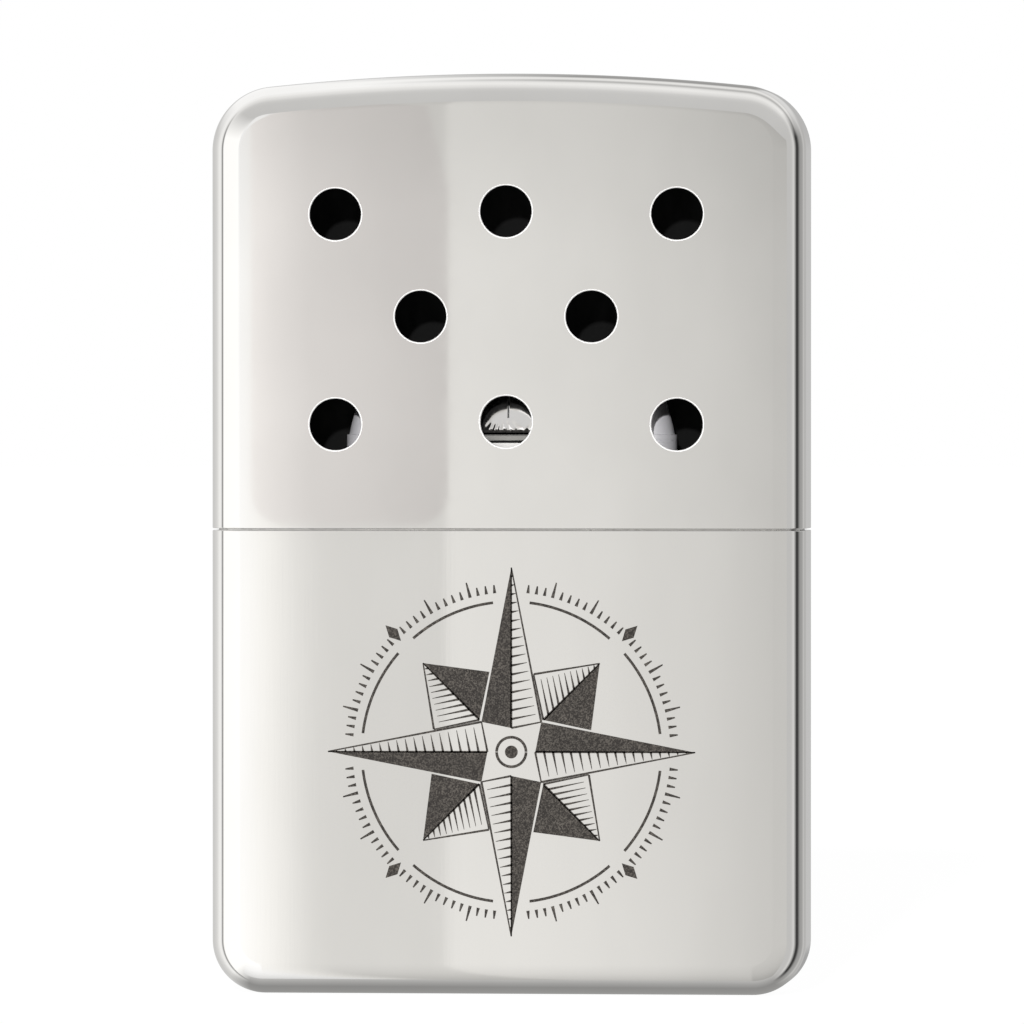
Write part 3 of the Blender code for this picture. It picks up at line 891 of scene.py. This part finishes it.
def plug_profile(radius, low, high, edge):
    """From the middle of the floor, round a soft edge, up the side and back to the middle of the top."""
    inside = radius - edge
    rise = high - low - 2 * edge
    profile = [(inside * ring / PLUG_RINGS, low) for ring in range(PLUG_RINGS)]
    profile += arc((inside, low + edge), edge, -math.pi / 2, 0, PLUG_EDGE_STEPS)
    profile += [(radius, low + edge + rise * step / PLUG_SIDE_STEPS) for step in range(1, PLUG_SIDE_STEPS)]
    profile += arc((inside, high - edge), edge, 0, math.pi / 2, PLUG_EDGE_STEPS)
    return profile + [(inside * ring / PLUG_RINGS, high) for ring in reversed(range(PLUG_RINGS))]


def roughen(bm, depth, cells):
    """Push points inwards by up to a depth, following noise with so many cells per metre."""
    bm.normal_update()
    moves = [(vert, vert.normal.copy()) for vert in bm.verts]
    for vert, normal in moves:
        vert.co -= normal * depth * (0.5 + 0.5 * noise.fractal(vert.co * cells, *TUFTS))


def soft_plug(name, node, edge, depth, cells, material):
    """A roughened plug that fills a solid's box, with its edges, relief and noise cells given."""
    low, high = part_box(node)
    profile = plug_profile(high.y, low.z, high.z, edge)
    bm = sweep_obround(profile, closed=False, straight_steps=STRAIGHT_STEPS)
    roughen(bm, depth, cells)
    return new_object(name, bm, material)


wick = soft_plug("wick", "wick_felt", 0.0007, 0.00012, 1300, felt)
finish_piece(wick, "case", "felt", "wick_felt", sharp=70)
mat = soft_plug("catalyst", "catalyst_mat", 0.0009, 0.00015, 1700, catalyst_fibre)
finish_piece(mat, "burner", "catalyst_fibre", "catalyst_mat", sharp=70)

# %% Cotton wads
WAD_ROUNDING_SHARE = 0.42
WAD_ROUNDING_STEPS = 8
WAD_LONGEST_EDGE = 0.0015
WAD_CUTS = 7
WAD_RELIEF = 0.0009
WAD_CELLS = 380
for index in range(1, 9):
    low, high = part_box(f"packing_wad_{index}")
    bm = bmesh.new()
    add_block(bm, (low + high) / 2, high - low)
    round_edges(bm, bm.edges[:], min(high - low) * WAD_ROUNDING_SHARE, WAD_ROUNDING_STEPS)
    bmesh.ops.triangulate(bm, faces=bm.faces)
    long_edges = [edge for edge in bm.edges if edge.calc_length() > WAD_LONGEST_EDGE]
    bmesh.ops.subdivide_edges(bm, edges=long_edges, cuts=WAD_CUTS, use_grid_fill=True)
    bmesh.ops.triangulate(bm, faces=bm.faces)
    roughen(bm, WAD_RELIEF, WAD_CELLS)
    wad = new_object(f"cotton_wad_{index}", bm, cotton)
    finish_piece(wad, "case", "cotton", f"packing_wad_{index}", sharp=80)

# %% [markdown]
# ## Gauze and clips
# The mat rests on woven wire. Each wire is a thin hexagonal rod, cut into short lengths and waved, so that it
# goes over one neighbour and under the next. A flat frame holds their ends. The two clips are bent strips
# with rounded edges, turned round the ends of the mat.

# %% Woven gauze
gauze_low, gauze_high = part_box("support_gauze")
GAUZE_GAP = 0.0001
GAUZE_RADIUS = gauze_high.y - TUCK_DEPTH - GAUZE_GAP
FRAME_WIDTH = 0.00030
FRAME_EDGE = 0.00005
WIRE_RADIUS = 0.00005
WIRE_SIDES = 6
WEAVE_PITCH = 0.00077
WAVE_STEPS = 4
weave_middle = (gauze_low.z + gauze_high.z) / 2
weave_swing = (gauze_high.z - gauze_low.z) / 2 - WIRE_RADIUS


def woven_wire(bm, start, end, phase):
    """Add one wire between two level points, waved up and down once for every second crossing."""
    run = end - start
    turned = run.to_track_quat("Z", "Y").to_matrix().to_4x4()
    rod = bmesh.new()
    bmesh.ops.create_cone(
        rod,
        cap_ends=True,
        segments=WIRE_SIDES,
        radius1=WIRE_RADIUS,
        radius2=WIRE_RADIUS,
        depth=run.length,
        matrix=Matrix.Translation((start + end) / 2) @ turned,
    )
    sides = [edge for edge in rod.edges if edge.calc_length() > run.length / 2]
    steps = max(WAVE_STEPS, round(run.length / WEAVE_PITCH * WAVE_STEPS))
    bmesh.ops.subdivide_edges(rod, edges=sides, cuts=steps - 1)
    for vert in rod.verts:
        wave = math.cos(math.pi * vert.co.dot(run.normalized()) / WEAVE_PITCH + phase)
        vert.co.z += weave_middle + weave_swing * wave
    mesh = bpy.data.meshes.new("wire")
    rod.to_mesh(mesh)
    rod.free()
    bm.from_mesh(mesh)
    bpy.data.meshes.remove(mesh)


frame_near = GAUZE_RADIUS - FRAME_WIDTH
section = strip_section(frame_near, GAUZE_RADIUS, gauze_low.z, gauze_high.z, FRAME_EDGE, 2)
bm = sweep_obround(section, closed=True)
held = (frame_near + GAUZE_RADIUS) / 2
rows = int(held / WEAVE_PITCH)
columns = int((REACH + held) / WEAVE_PITCH)
for row in range(-rows, rows + 1):
    y = row * WEAVE_PITCH
    reach = REACH + math.sqrt(held**2 - y**2)
    woven_wire(bm, Vector((-reach, y, 0)), Vector((reach, y, 0)), math.pi * row)
for column in range(-columns, columns + 1):
    x = column * WEAVE_PITCH
    reach = math.sqrt(held**2 - max(0.0, abs(x) - REACH) ** 2)
    woven_wire(bm, Vector((x, -reach, 0)), Vector((x, reach, 0)), math.pi * (column + 1))
face_outwards(bm)
gauze = new_object("gauze", bm, gauze_wire)
finish_piece(gauze, "burner", "gauze_wire", "support_gauze", sharp=50)

# %% Clips
CLIP_THICKNESS = 0.00025
CLIP_EDGE = 0.00008
for name, node, side in (("clip_left", "mat_clip_left", -1), ("clip_right", "mat_clip_right", 1)):
    low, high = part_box(node)
    section = strip_section(high.y - CLIP_THICKNESS, high.y, low.z, high.z, CLIP_EDGE)
    bm = bmesh.new()
    end = bm.faces.new([bm.verts.new((side * REACH, -radius, height)) for radius, height in section])
    bmesh.ops.spin(
        bm,
        geom=[end, *end.edges, *end.verts],
        cent=(side * REACH, 0, 0),
        axis=(0, 0, side),
        angle=math.pi,
        steps=END_STEPS,
    )
    face_outwards(bm)
    clip = new_object(name, bm, burner_steel)
    finish_piece(clip, "burner", "burner_steel", node)

# %% [markdown]
# ## Engraving
# The case carries a round motif that a laser has burnt into the chrome: dark, matt, and a little grainy.
# The motif here is a plain compass rose. Each stroke is a flat stamp, drawn back into the sheet, which
# stands out of the face by only a hundredth of a millimetre, so its edges stay crisp at any distance.
# All the strokes are made from a few recipes: half of a point, hatching, ticks and arcs.

# %% Engraved material
engraved_mark, shader = new_material("engraved_mark")
grains = stretched_noise(engraved_mark, (6500, 6500, 6500), detail=2.0, roughness=0.6)
clouds = stretched_noise(engraved_mark, (420, 420, 420), detail=2.0)
speckle = ramp(engraved_mark, grains, [(0.46, (0.021, 0.018, 0.016)), (0.62, (0.088, 0.079, 0.069))])
fade = ramp(engraved_mark, clouds, [(0.40, (0.80, 0.80, 0.80)), (0.62, (1.0, 1.0, 1.0))])
colour = mixed(engraved_mark, 1.0, speckle, fade, "MULTIPLY")
normal = raised(engraved_mark, grains, 0.000006)
feed(engraved_mark, shader, Base_Color=colour, Normal=normal, Roughness=0.62)
print("engraved material made")

# %% Stamps
MARK_CENTRE = Vector((0.0006, 0.0264))
MARK_PROUD = 0.00001
MARK_SUNK = 0.00004
STROKE = 0.00030
HATCH_REACH = 0.86

marks = bmesh.new()


def stamp(outline):
    """Add one flat stroke, given its outline around the middle of the motif."""
    corners = [MARK_CENTRE + Vector(point) for point in outline]
    draw_outline(marks, corners, FACE_Y - MARK_PROUD, MARK_PROUD + MARK_SUNK)


def polar(radius, degrees):
    """A point of the motif, from its distance and its angle to the right."""
    return Vector((radius * math.cos(math.radians(degrees)), radius * math.sin(math.radians(degrees))))


def tapered(start, end, wide, narrow):
    """A straight stroke that narrows towards its end."""
    aside = (end - start).orthogonal().normalized()
    near, far = aside * wide / 2, aside * narrow / 2
    stamp([start + near, start - near, end - far, end + far])


def band(radius, width, start, end):
    """A stroke along an arc, between two angles."""
    steps = max(3, round((end - start) / 1.5))
    turns = [start + (end - start) * step / steps for step in range(steps + 1)]
    outside = [polar(radius + width / 2, turn) for turn in turns]
    stamp(outside + [polar(radius - width / 2, turn) for turn in reversed(turns)])


def hatched(root, corner, tip, strokes):
    """Outline a triangle and fill it with strokes that thin out towards its outer side."""
    for start, end in ((root, tip), (corner, tip), (root, corner)):
        tapered(start, end, STROKE * 0.8, STROKE * 0.5)
    for stroke in range(1, strokes):
        share = stroke / strokes
        near = root.lerp(tip, share)
        far = corner.lerp(tip, share)
        tapered(near, near.lerp(far, HATCH_REACH), STROKE * 0.9, STROKE * 0.2)


print(f"strokes {STROKE * 1000:.2f} mm wide, {MARK_PROUD * 1000:.2f} mm proud of the face")

# %% Compass rose
LONG_POINT = 0.0200
SHORT_POINT = 0.0136
WAIST = 0.0046
NOTCH = WAIST * 1.07
HUB = 0.0026
SIDE_SHARE = 0.70
RING = 0.0182
BEYOND = -0.05
LONG_STROKES, SHORT_STROKES = 18, 11
INNER_RING = RING - 0.0019
INNER_ARCS = ((7, 41), (49, 83))
TICK_TURN = 3
CLEAR_OF_POINTS, CLEAR_OF_DIAMONDS = 6, 3
TICK_FOOT = RING - 0.0009
TICK_LENGTHS = (0.0017, 0.0009, 0.0009, 0.0009, 0.0009)
DIAMOND = ((0.0012, 0), (0, -2), (-0.0012, 0), (0, 2))
EYE, EYE_RING = 0.0007, 0.0016

for quarter in range(4):
    turn = 90 * quarter
    tip = polar(LONG_POINT, turn)
    root = polar(HUB, turn)
    stamp([root, tip, polar(WAIST, turn + 45)])
    hatched(root, polar(WAIST, turn - 45), tip, LONG_STROKES)
    short_tip = polar(SHORT_POINT, turn + 45)
    notch = polar(NOTCH, turn + 45)
    left = polar(LONG_POINT, turn + 90).lerp(notch, SIDE_SHARE)
    right = tip.lerp(notch, SIDE_SHARE)
    stamp([notch, right.lerp(notch, BEYOND), short_tip])
    hatched(notch, left, short_tip, SHORT_STROKES)
    for start, end in INNER_ARCS:
        band(INNER_RING, STROKE, turn + start, turn + end)
    stamp([polar(RING + out, turn + 45 + aside) for out, aside in DIAMOND])

for tick in range(360 // TICK_TURN):
    turn = tick * TICK_TURN
    if min(turn % 90, 90 - turn % 90) < CLEAR_OF_POINTS or abs(turn % 90 - 45) < CLEAR_OF_DIAMONDS:
        continue
    tip = polar(TICK_FOOT + TICK_LENGTHS[tick % 5], turn)
    tapered(polar(TICK_FOOT, turn), tip, STROKE * 1.2, STROKE * 0.5)

for start in (0, 180):
    band(EYE_RING, STROKE, start + 1, start + 179)
stamp([polar(EYE, 10 * step) for step in range(36)])
face_outwards(marks)
engraving = new_object("engraving", marks, engraved_mark)
finish_piece(engraving, "case", "engraved_mark", sharp=None)

# %% [markdown]
# ## Studio
# Polished metal shows nothing but its surroundings, so they are designed first of all. The world is split
# by ray kind: the camera sees plain white, matt surfaces are lit by a soft level that is low in front, and
# mirrors see a simple studio, white on the left and grey on the right with one dark opening. Two ramps
# describe it, one by compass direction for the upright rims, and one by the angle over the top for the
# level ones. Round the corners the tilt of the ray blends them, and the studio's two ends are lighter high
# up, for the upper corners.

# %% Levels of the studio
AMBIENT = 0.50
FRONT_AMBIENT = 0.06
BRIGHTEST = 1.25
STUDIO_TINT = (1.0, 0.995, 0.985)
# Compass directions in degrees run from behind on the left, through the front at 0, to behind on the right.
ROUND_ABOUT = (
    (-180, 0.67), (-136, 0.67), (-112, 0.78), (-92, 1.04), (-85, 0.96), (-80, 0.28), (-77, 0.36),
    (-73, 1.20), (-12, 1.22), (-6, 0.85), (5, 0.60), (66, 0.61), (77, 0.76), (85, 0.28), (89, 0.05),
    (97, 0.05), (108, 0.36), (124, 0.42), (134, 0.62), (146, 0.50), (180, 0.56),
)
# Angles over the top run from behind, through straight down at -90, the front at 0 and overhead at 90.
OVER_THE_TOP = (
    (-180, 0.38), (-121, 0.33), (-101, 0.31), (-80, 0.43), (-62, 0.58), (-46, 0.71), (-30, 0.80),
    (-10, 0.86), (0, 0.70), (10, 0.63), (50, 0.65), (61, 0.70), (70, 0.84), (84, 0.98), (93, 0.90),
    (104, 0.50), (116, 0.95), (124, 0.85), (133, 0.36), (147, 0.38), (180, 0.50),
)
# Each lighter end of the studio: its side, its level, and the angles where that begins and is full.
UPPER_ENDS = ((-1, 1.08, 80, 95), (1, 0.80, 120, 132))
# Where one part of the studio goes over into the next, from none of it to all of it. The first two are
# shares of a ray's length, to the side and forwards, and the others are angles in degrees.
TO_THE_SIDE = (0.07, 0.17)
AHEAD = (0.60, 0.85)
NOT_BEHIND = (172, 150)
STEEPLY_UP, STEEPLY_DOWN = (15, 45), (-44, -66)
BELOW_THE_FRONT = (-3, -45)
print(f"{len(ROUND_ABOUT)} levels round about, {len(OVER_THE_TOP)} over the top")

# %% World
world = bpy.data.worlds.new("studio")
bpy.context.scene.world = world
world.use_nodes = True


def studio_ramp(angle, levels):
    """Brightness by an angle."""
    place = remap(world, angle, -math.pi, math.pi)
    stops = [
        ((degrees + 180) / 360, tuple(level * part / BRIGHTEST for part in STUDIO_TINT))
        for degrees, level in levels
    ]
    return ramp(world, place, stops)


def rising(angle, none, full):
    """A share that goes from 0 at one angle to 1 at another, both in degrees."""
    return remap(world, angle, math.radians(none), math.radians(full))


def product(first, second):
    """Two values multiplied."""
    return calculate(world, "MULTIPLY", first, second)


direction = add_node(world, "ShaderNodeTexCoord").outputs["Generated"]
x, y, z = add_node(world, "ShaderNodeSeparateXYZ", Vector=direction).outputs
forward = product(y, -1.0)
compass = calculate(world, "ARCTAN2", x, forward)
climb = calculate(world, "ARCTAN2", z, forward)
tilt = calculate(world, "ARCTAN2", z, calculate(world, "ABSOLUTE", x))
around = studio_ramp(compass, ROUND_ABOUT)
over = studio_ramp(climb, OVER_THE_TOP)
for side, level, begins, full in UPPER_ENDS:
    sideways = remap(world, product(x, side), *TO_THE_SIDE)
    beyond = product(rising(climb, begins, full), rising(climb, *NOT_BEHIND))
    over = mixed(world, product(sideways, beyond), over, level / BRIGHTEST)
downward = product(rising(tilt, *STEEPLY_DOWN), rising(climb, *BELOW_THE_FRONT))
steepness = calculate(world, "ADD", rising(tilt, *STEEPLY_UP), downward)
studio = mixed(world, steepness, around, over)
rays = add_node(world, "ShaderNodeLightPath").outputs
ahead = remap(world, forward, *AHEAD)
soft = mixed(world, ahead, AMBIENT / BRIGHTEST, FRONT_AMBIENT / BRIGHTEST)
lit = mixed(world, rays["Is Diffuse Ray"], studio, soft)
seen = mixed(world, rays["Is Camera Ray"], lit, 1.0 / BRIGHTEST)
feed(world, world.node_tree.nodes["Background"], Color=seen, Strength=BRIGHTEST)
print("studio made")

# %% [markdown]
# ## Cards in front of the face
# The flat faces mirror only a small patch of the studio, right in front. Product photographers put cards
# there to shape that reflection. A card's place follows from a mirror trick: a flat mirror shows what the
# camera's own mirror image would see through it, so a line from that image through a point of the face
# ends at the place on the card that shows up there. One card gives the broad falloff from left to right,
# and widens towards its lower left, because the case's lower left corner mirrors it too. A second one, a
# little nearer, gives the darker sheet with round corners that the lid shows on its left. Both are slightly
# warm, except where the first one is white.

# %% Reflection cards
FACE_REFLECTANCE = 0.86
WHITE_TONE = 250
mirrored_camera = Vector((camera.location.x, 2 * FACE_Y - camera.location.y, camera.location.z))


def seen_at(x, z, distance):
    """The place, so far in front of the face, that is mirrored at a point of the face."""
    line = Vector((x, FACE_Y, z)) - mirrored_camera
    reach = (FACE_Y - distance - mirrored_camera.y) / (FACE_Y - mirrored_camera.y)
    return mirrored_camera + line * reach


def card_light(name, distance, across, upright, tint):
    """Glow with tones across the face times shares up it, at the places where the face shows them."""
    material, shader = new_material(name)
    nodes = material.node_tree.nodes
    nodes.remove(shader)
    place = add_node(material, "ShaderNodeTexCoord").outputs["Object"]
    spot = add_node(material, "ShaderNodeSeparateXYZ", Vector=place).outputs
    left, right = across[0][0], across[-1][0]
    low, high = upright[0][0], upright[-1][0]
    start, end = seen_at(left, low, distance), seen_at(right, high, distance)
    place_x = remap(material, spot["X"], start.x, end.x)
    place_z = remap(material, spot["Z"], start.z, end.z)
    tones = []
    for x, tone in across:
        level = linear(tone) / FACE_REFLECTANCE / BRIGHTEST
        colour = (level, level, level) if tone > WHITE_TONE else tuple(level * part for part in tint)
        tones.append(((x - left) / (right - left), colour))
    shares = [((z - low) / (high - low), (share, share, share)) for z, share in upright]
    glow = mixed(material, 1.0, ramp(material, place_x, tones), ramp(material, place_z, shares), "MULTIPLY")
    light = add_node(material, "ShaderNodeEmission", Color=glow, Strength=BRIGHTEST)
    feed(material, nodes["Material Output"], Surface=light.outputs["Emission"])
    return material


def card(name, distance, outline, across, upright, tint):
    """A flat card with the outline that the face shows, seen by mirrors only."""
    bm = bmesh.new()
    bm.faces.new([bm.verts.new(seen_at(x, z, distance)) for x, z in outline])
    made = new_object(f"{name}_card", bm, card_light(f"{name}_light", distance, across, upright, tint))
    for kind in ("camera", "diffuse", "shadow", "transmission"):
        setattr(made, f"visible_{kind}", False)
    print(f"{name} card with {len(outline)} corners")


# %% Wall card
WALL_DISTANCE = 0.120
WALL_TINT = (1.0, 0.987, 0.958)
WALL_TONES = (
    (-0.0300, 259), (-0.0265, 248), (-0.0225, 225), (-0.0205, 216), (-0.0067, 213), (-0.0063, 229),
    (0.0100, 221), (0.0220, 210), (0.0300, 197),
)
WALL_SHARES = (
    (-0.2250, 0.66), (-0.1240, 0.81), (-0.0690, 0.92), (-0.0200, 1.0), (0.0040, 1.03), (0.0200, 1.0),
    (0.0480, 1.0), (0.0520, 0.98), (0.0800, 0.94), (0.0940, 0.84), (0.1200, 0.78),
)
LEFT, RIGHT, LOW, HIGH = -0.0400, 0.1600, -0.2250, 0.1200
LOW_LEFT = -0.1780
WIDENS_BELOW = -0.0130
wall_outline = [(LOW_LEFT, LOW), (RIGHT, LOW), (RIGHT, HIGH), (LEFT, HIGH), (LEFT, WIDENS_BELOW)]
card("wall", WALL_DISTANCE, wall_outline, WALL_TONES, WALL_SHARES, WALL_TINT)

# %% Sheet card
SHEET_DISTANCE = 0.110
SHEET_TINT = (1.0, 0.966, 0.944)
SHEET_TONES = ((-0.0290, 244), (-0.0255, 228), (-0.0215, 214), (-0.0115, 204), (-0.0050, 198))
SHEET_SHARES = ((0.0500, 1.0), (0.0620, 1.04), (0.0850, 1.0), (0.0935, 0.90), (0.1200, 0.80))
SHEET_LEFT, SHEET_RIGHT, SHEET_LOW = -0.0278, -0.0063, 0.0510
SHEET_CORNER, SHEET_CORNER_STEPS = 0.0034, 10
SHEET_BEND = 0.0875
SHEET_LEAN_SHARE = 0.25
corner_z = SHEET_LOW + SHEET_CORNER
low_corners = [
    arc((x, corner_z), SHEET_CORNER, start, start + math.pi / 2, SHEET_CORNER_STEPS)
    for x, start in ((SHEET_RIGHT - SHEET_CORNER, -math.pi / 2), (SHEET_LEFT + SHEET_CORNER, math.pi))
]
top_right = SHEET_RIGHT - SHEET_LEAN_SHARE * (HIGH - SHEET_BEND)
sheet_outline = low_corners[0] + [(SHEET_RIGHT, SHEET_BEND), (top_right, HIGH), (SHEET_LEFT, HIGH)]
sheet_outline += low_corners[1]
card("sheet", SHEET_DISTANCE, sheet_outline, SHEET_TONES, SHEET_SHARES, SHEET_TINT)

# %% [markdown]
# ## Key light and floor
# One distant lamp stands low in front. Its light falls through the vents and makes the bright spots on the
# burner. The floor looks white to the camera, yet it keeps a share of real shading, and with it the
# object's soft shadow. Mirrors look past it into the studio, because the lower rims of the real warmer
# mirror something darker than a white floor.

# %% Key light
KEY_ELEVATION = math.radians(14)
KEY_SPREAD = math.radians(2.0)
KEY_STRENGTH = 4.2
lamp = bpy.data.lights.new("key", "SUN")
lamp.energy = KEY_STRENGTH
lamp.angle = KEY_SPREAD
key = bpy.data.objects.new("key", lamp)
towards = Vector((0, -math.cos(KEY_ELEVATION), math.sin(KEY_ELEVATION)))
key.rotation_euler = towards.to_track_quat("Z", "Y").to_euler()
key.visible_glossy = False
bpy.context.scene.collection.objects.link(key)
print(f"key light {math.degrees(KEY_ELEVATION):.0f} degrees up")

# %% Floor
FLOOR_SIZE = 20.0
FLOOR_DROP = 0.0001
FLOOR_GLOW = 1.03
GLOW_SHARE = 0.94
white, surface = new_material("floor_white")
feed(white, surface, Base_Color=(0.90, 0.90, 0.90, 1.0), Roughness=0.9, Specular_IOR_Level=0.0)
glow = add_node(white, "ShaderNodeEmission", Strength=FLOOR_GLOW)
rays = add_node(white, "ShaderNodeLightPath").outputs
direct = calculate(white, "MAXIMUM", rays["Is Camera Ray"], rays["Is Glossy Ray"])
direct = calculate(white, "MAXIMUM", direct, rays["Is Transmission Ray"])
either = add_node(white, "ShaderNodeMixShader", Fac=calculate(white, "MULTIPLY", direct, GLOW_SHARE))
wire(white, surface.outputs["BSDF"], either.inputs[1])
wire(white, glow.outputs["Emission"], either.inputs[2])
feed(white, white.node_tree.nodes["Material Output"], Surface=either.outputs["Shader"])
bm = bmesh.new()
place = Matrix.Translation((0, 0, -FLOOR_DROP))
bmesh.ops.create_grid(bm, x_segments=1, y_segments=1, size=FLOOR_SIZE / 2, matrix=place)
floor = new_object("floor", bm, white)
floor.visible_glossy = False
floor.visible_diffuse = False
print(f"floor {FLOOR_SIZE:.0f} m wide")

# %% [markdown]
# ## Finish
# The view transform is set to Standard, so colours come out as they were written.

# %% Finish
bpy.context.scene.view_settings.view_transform = "Standard"
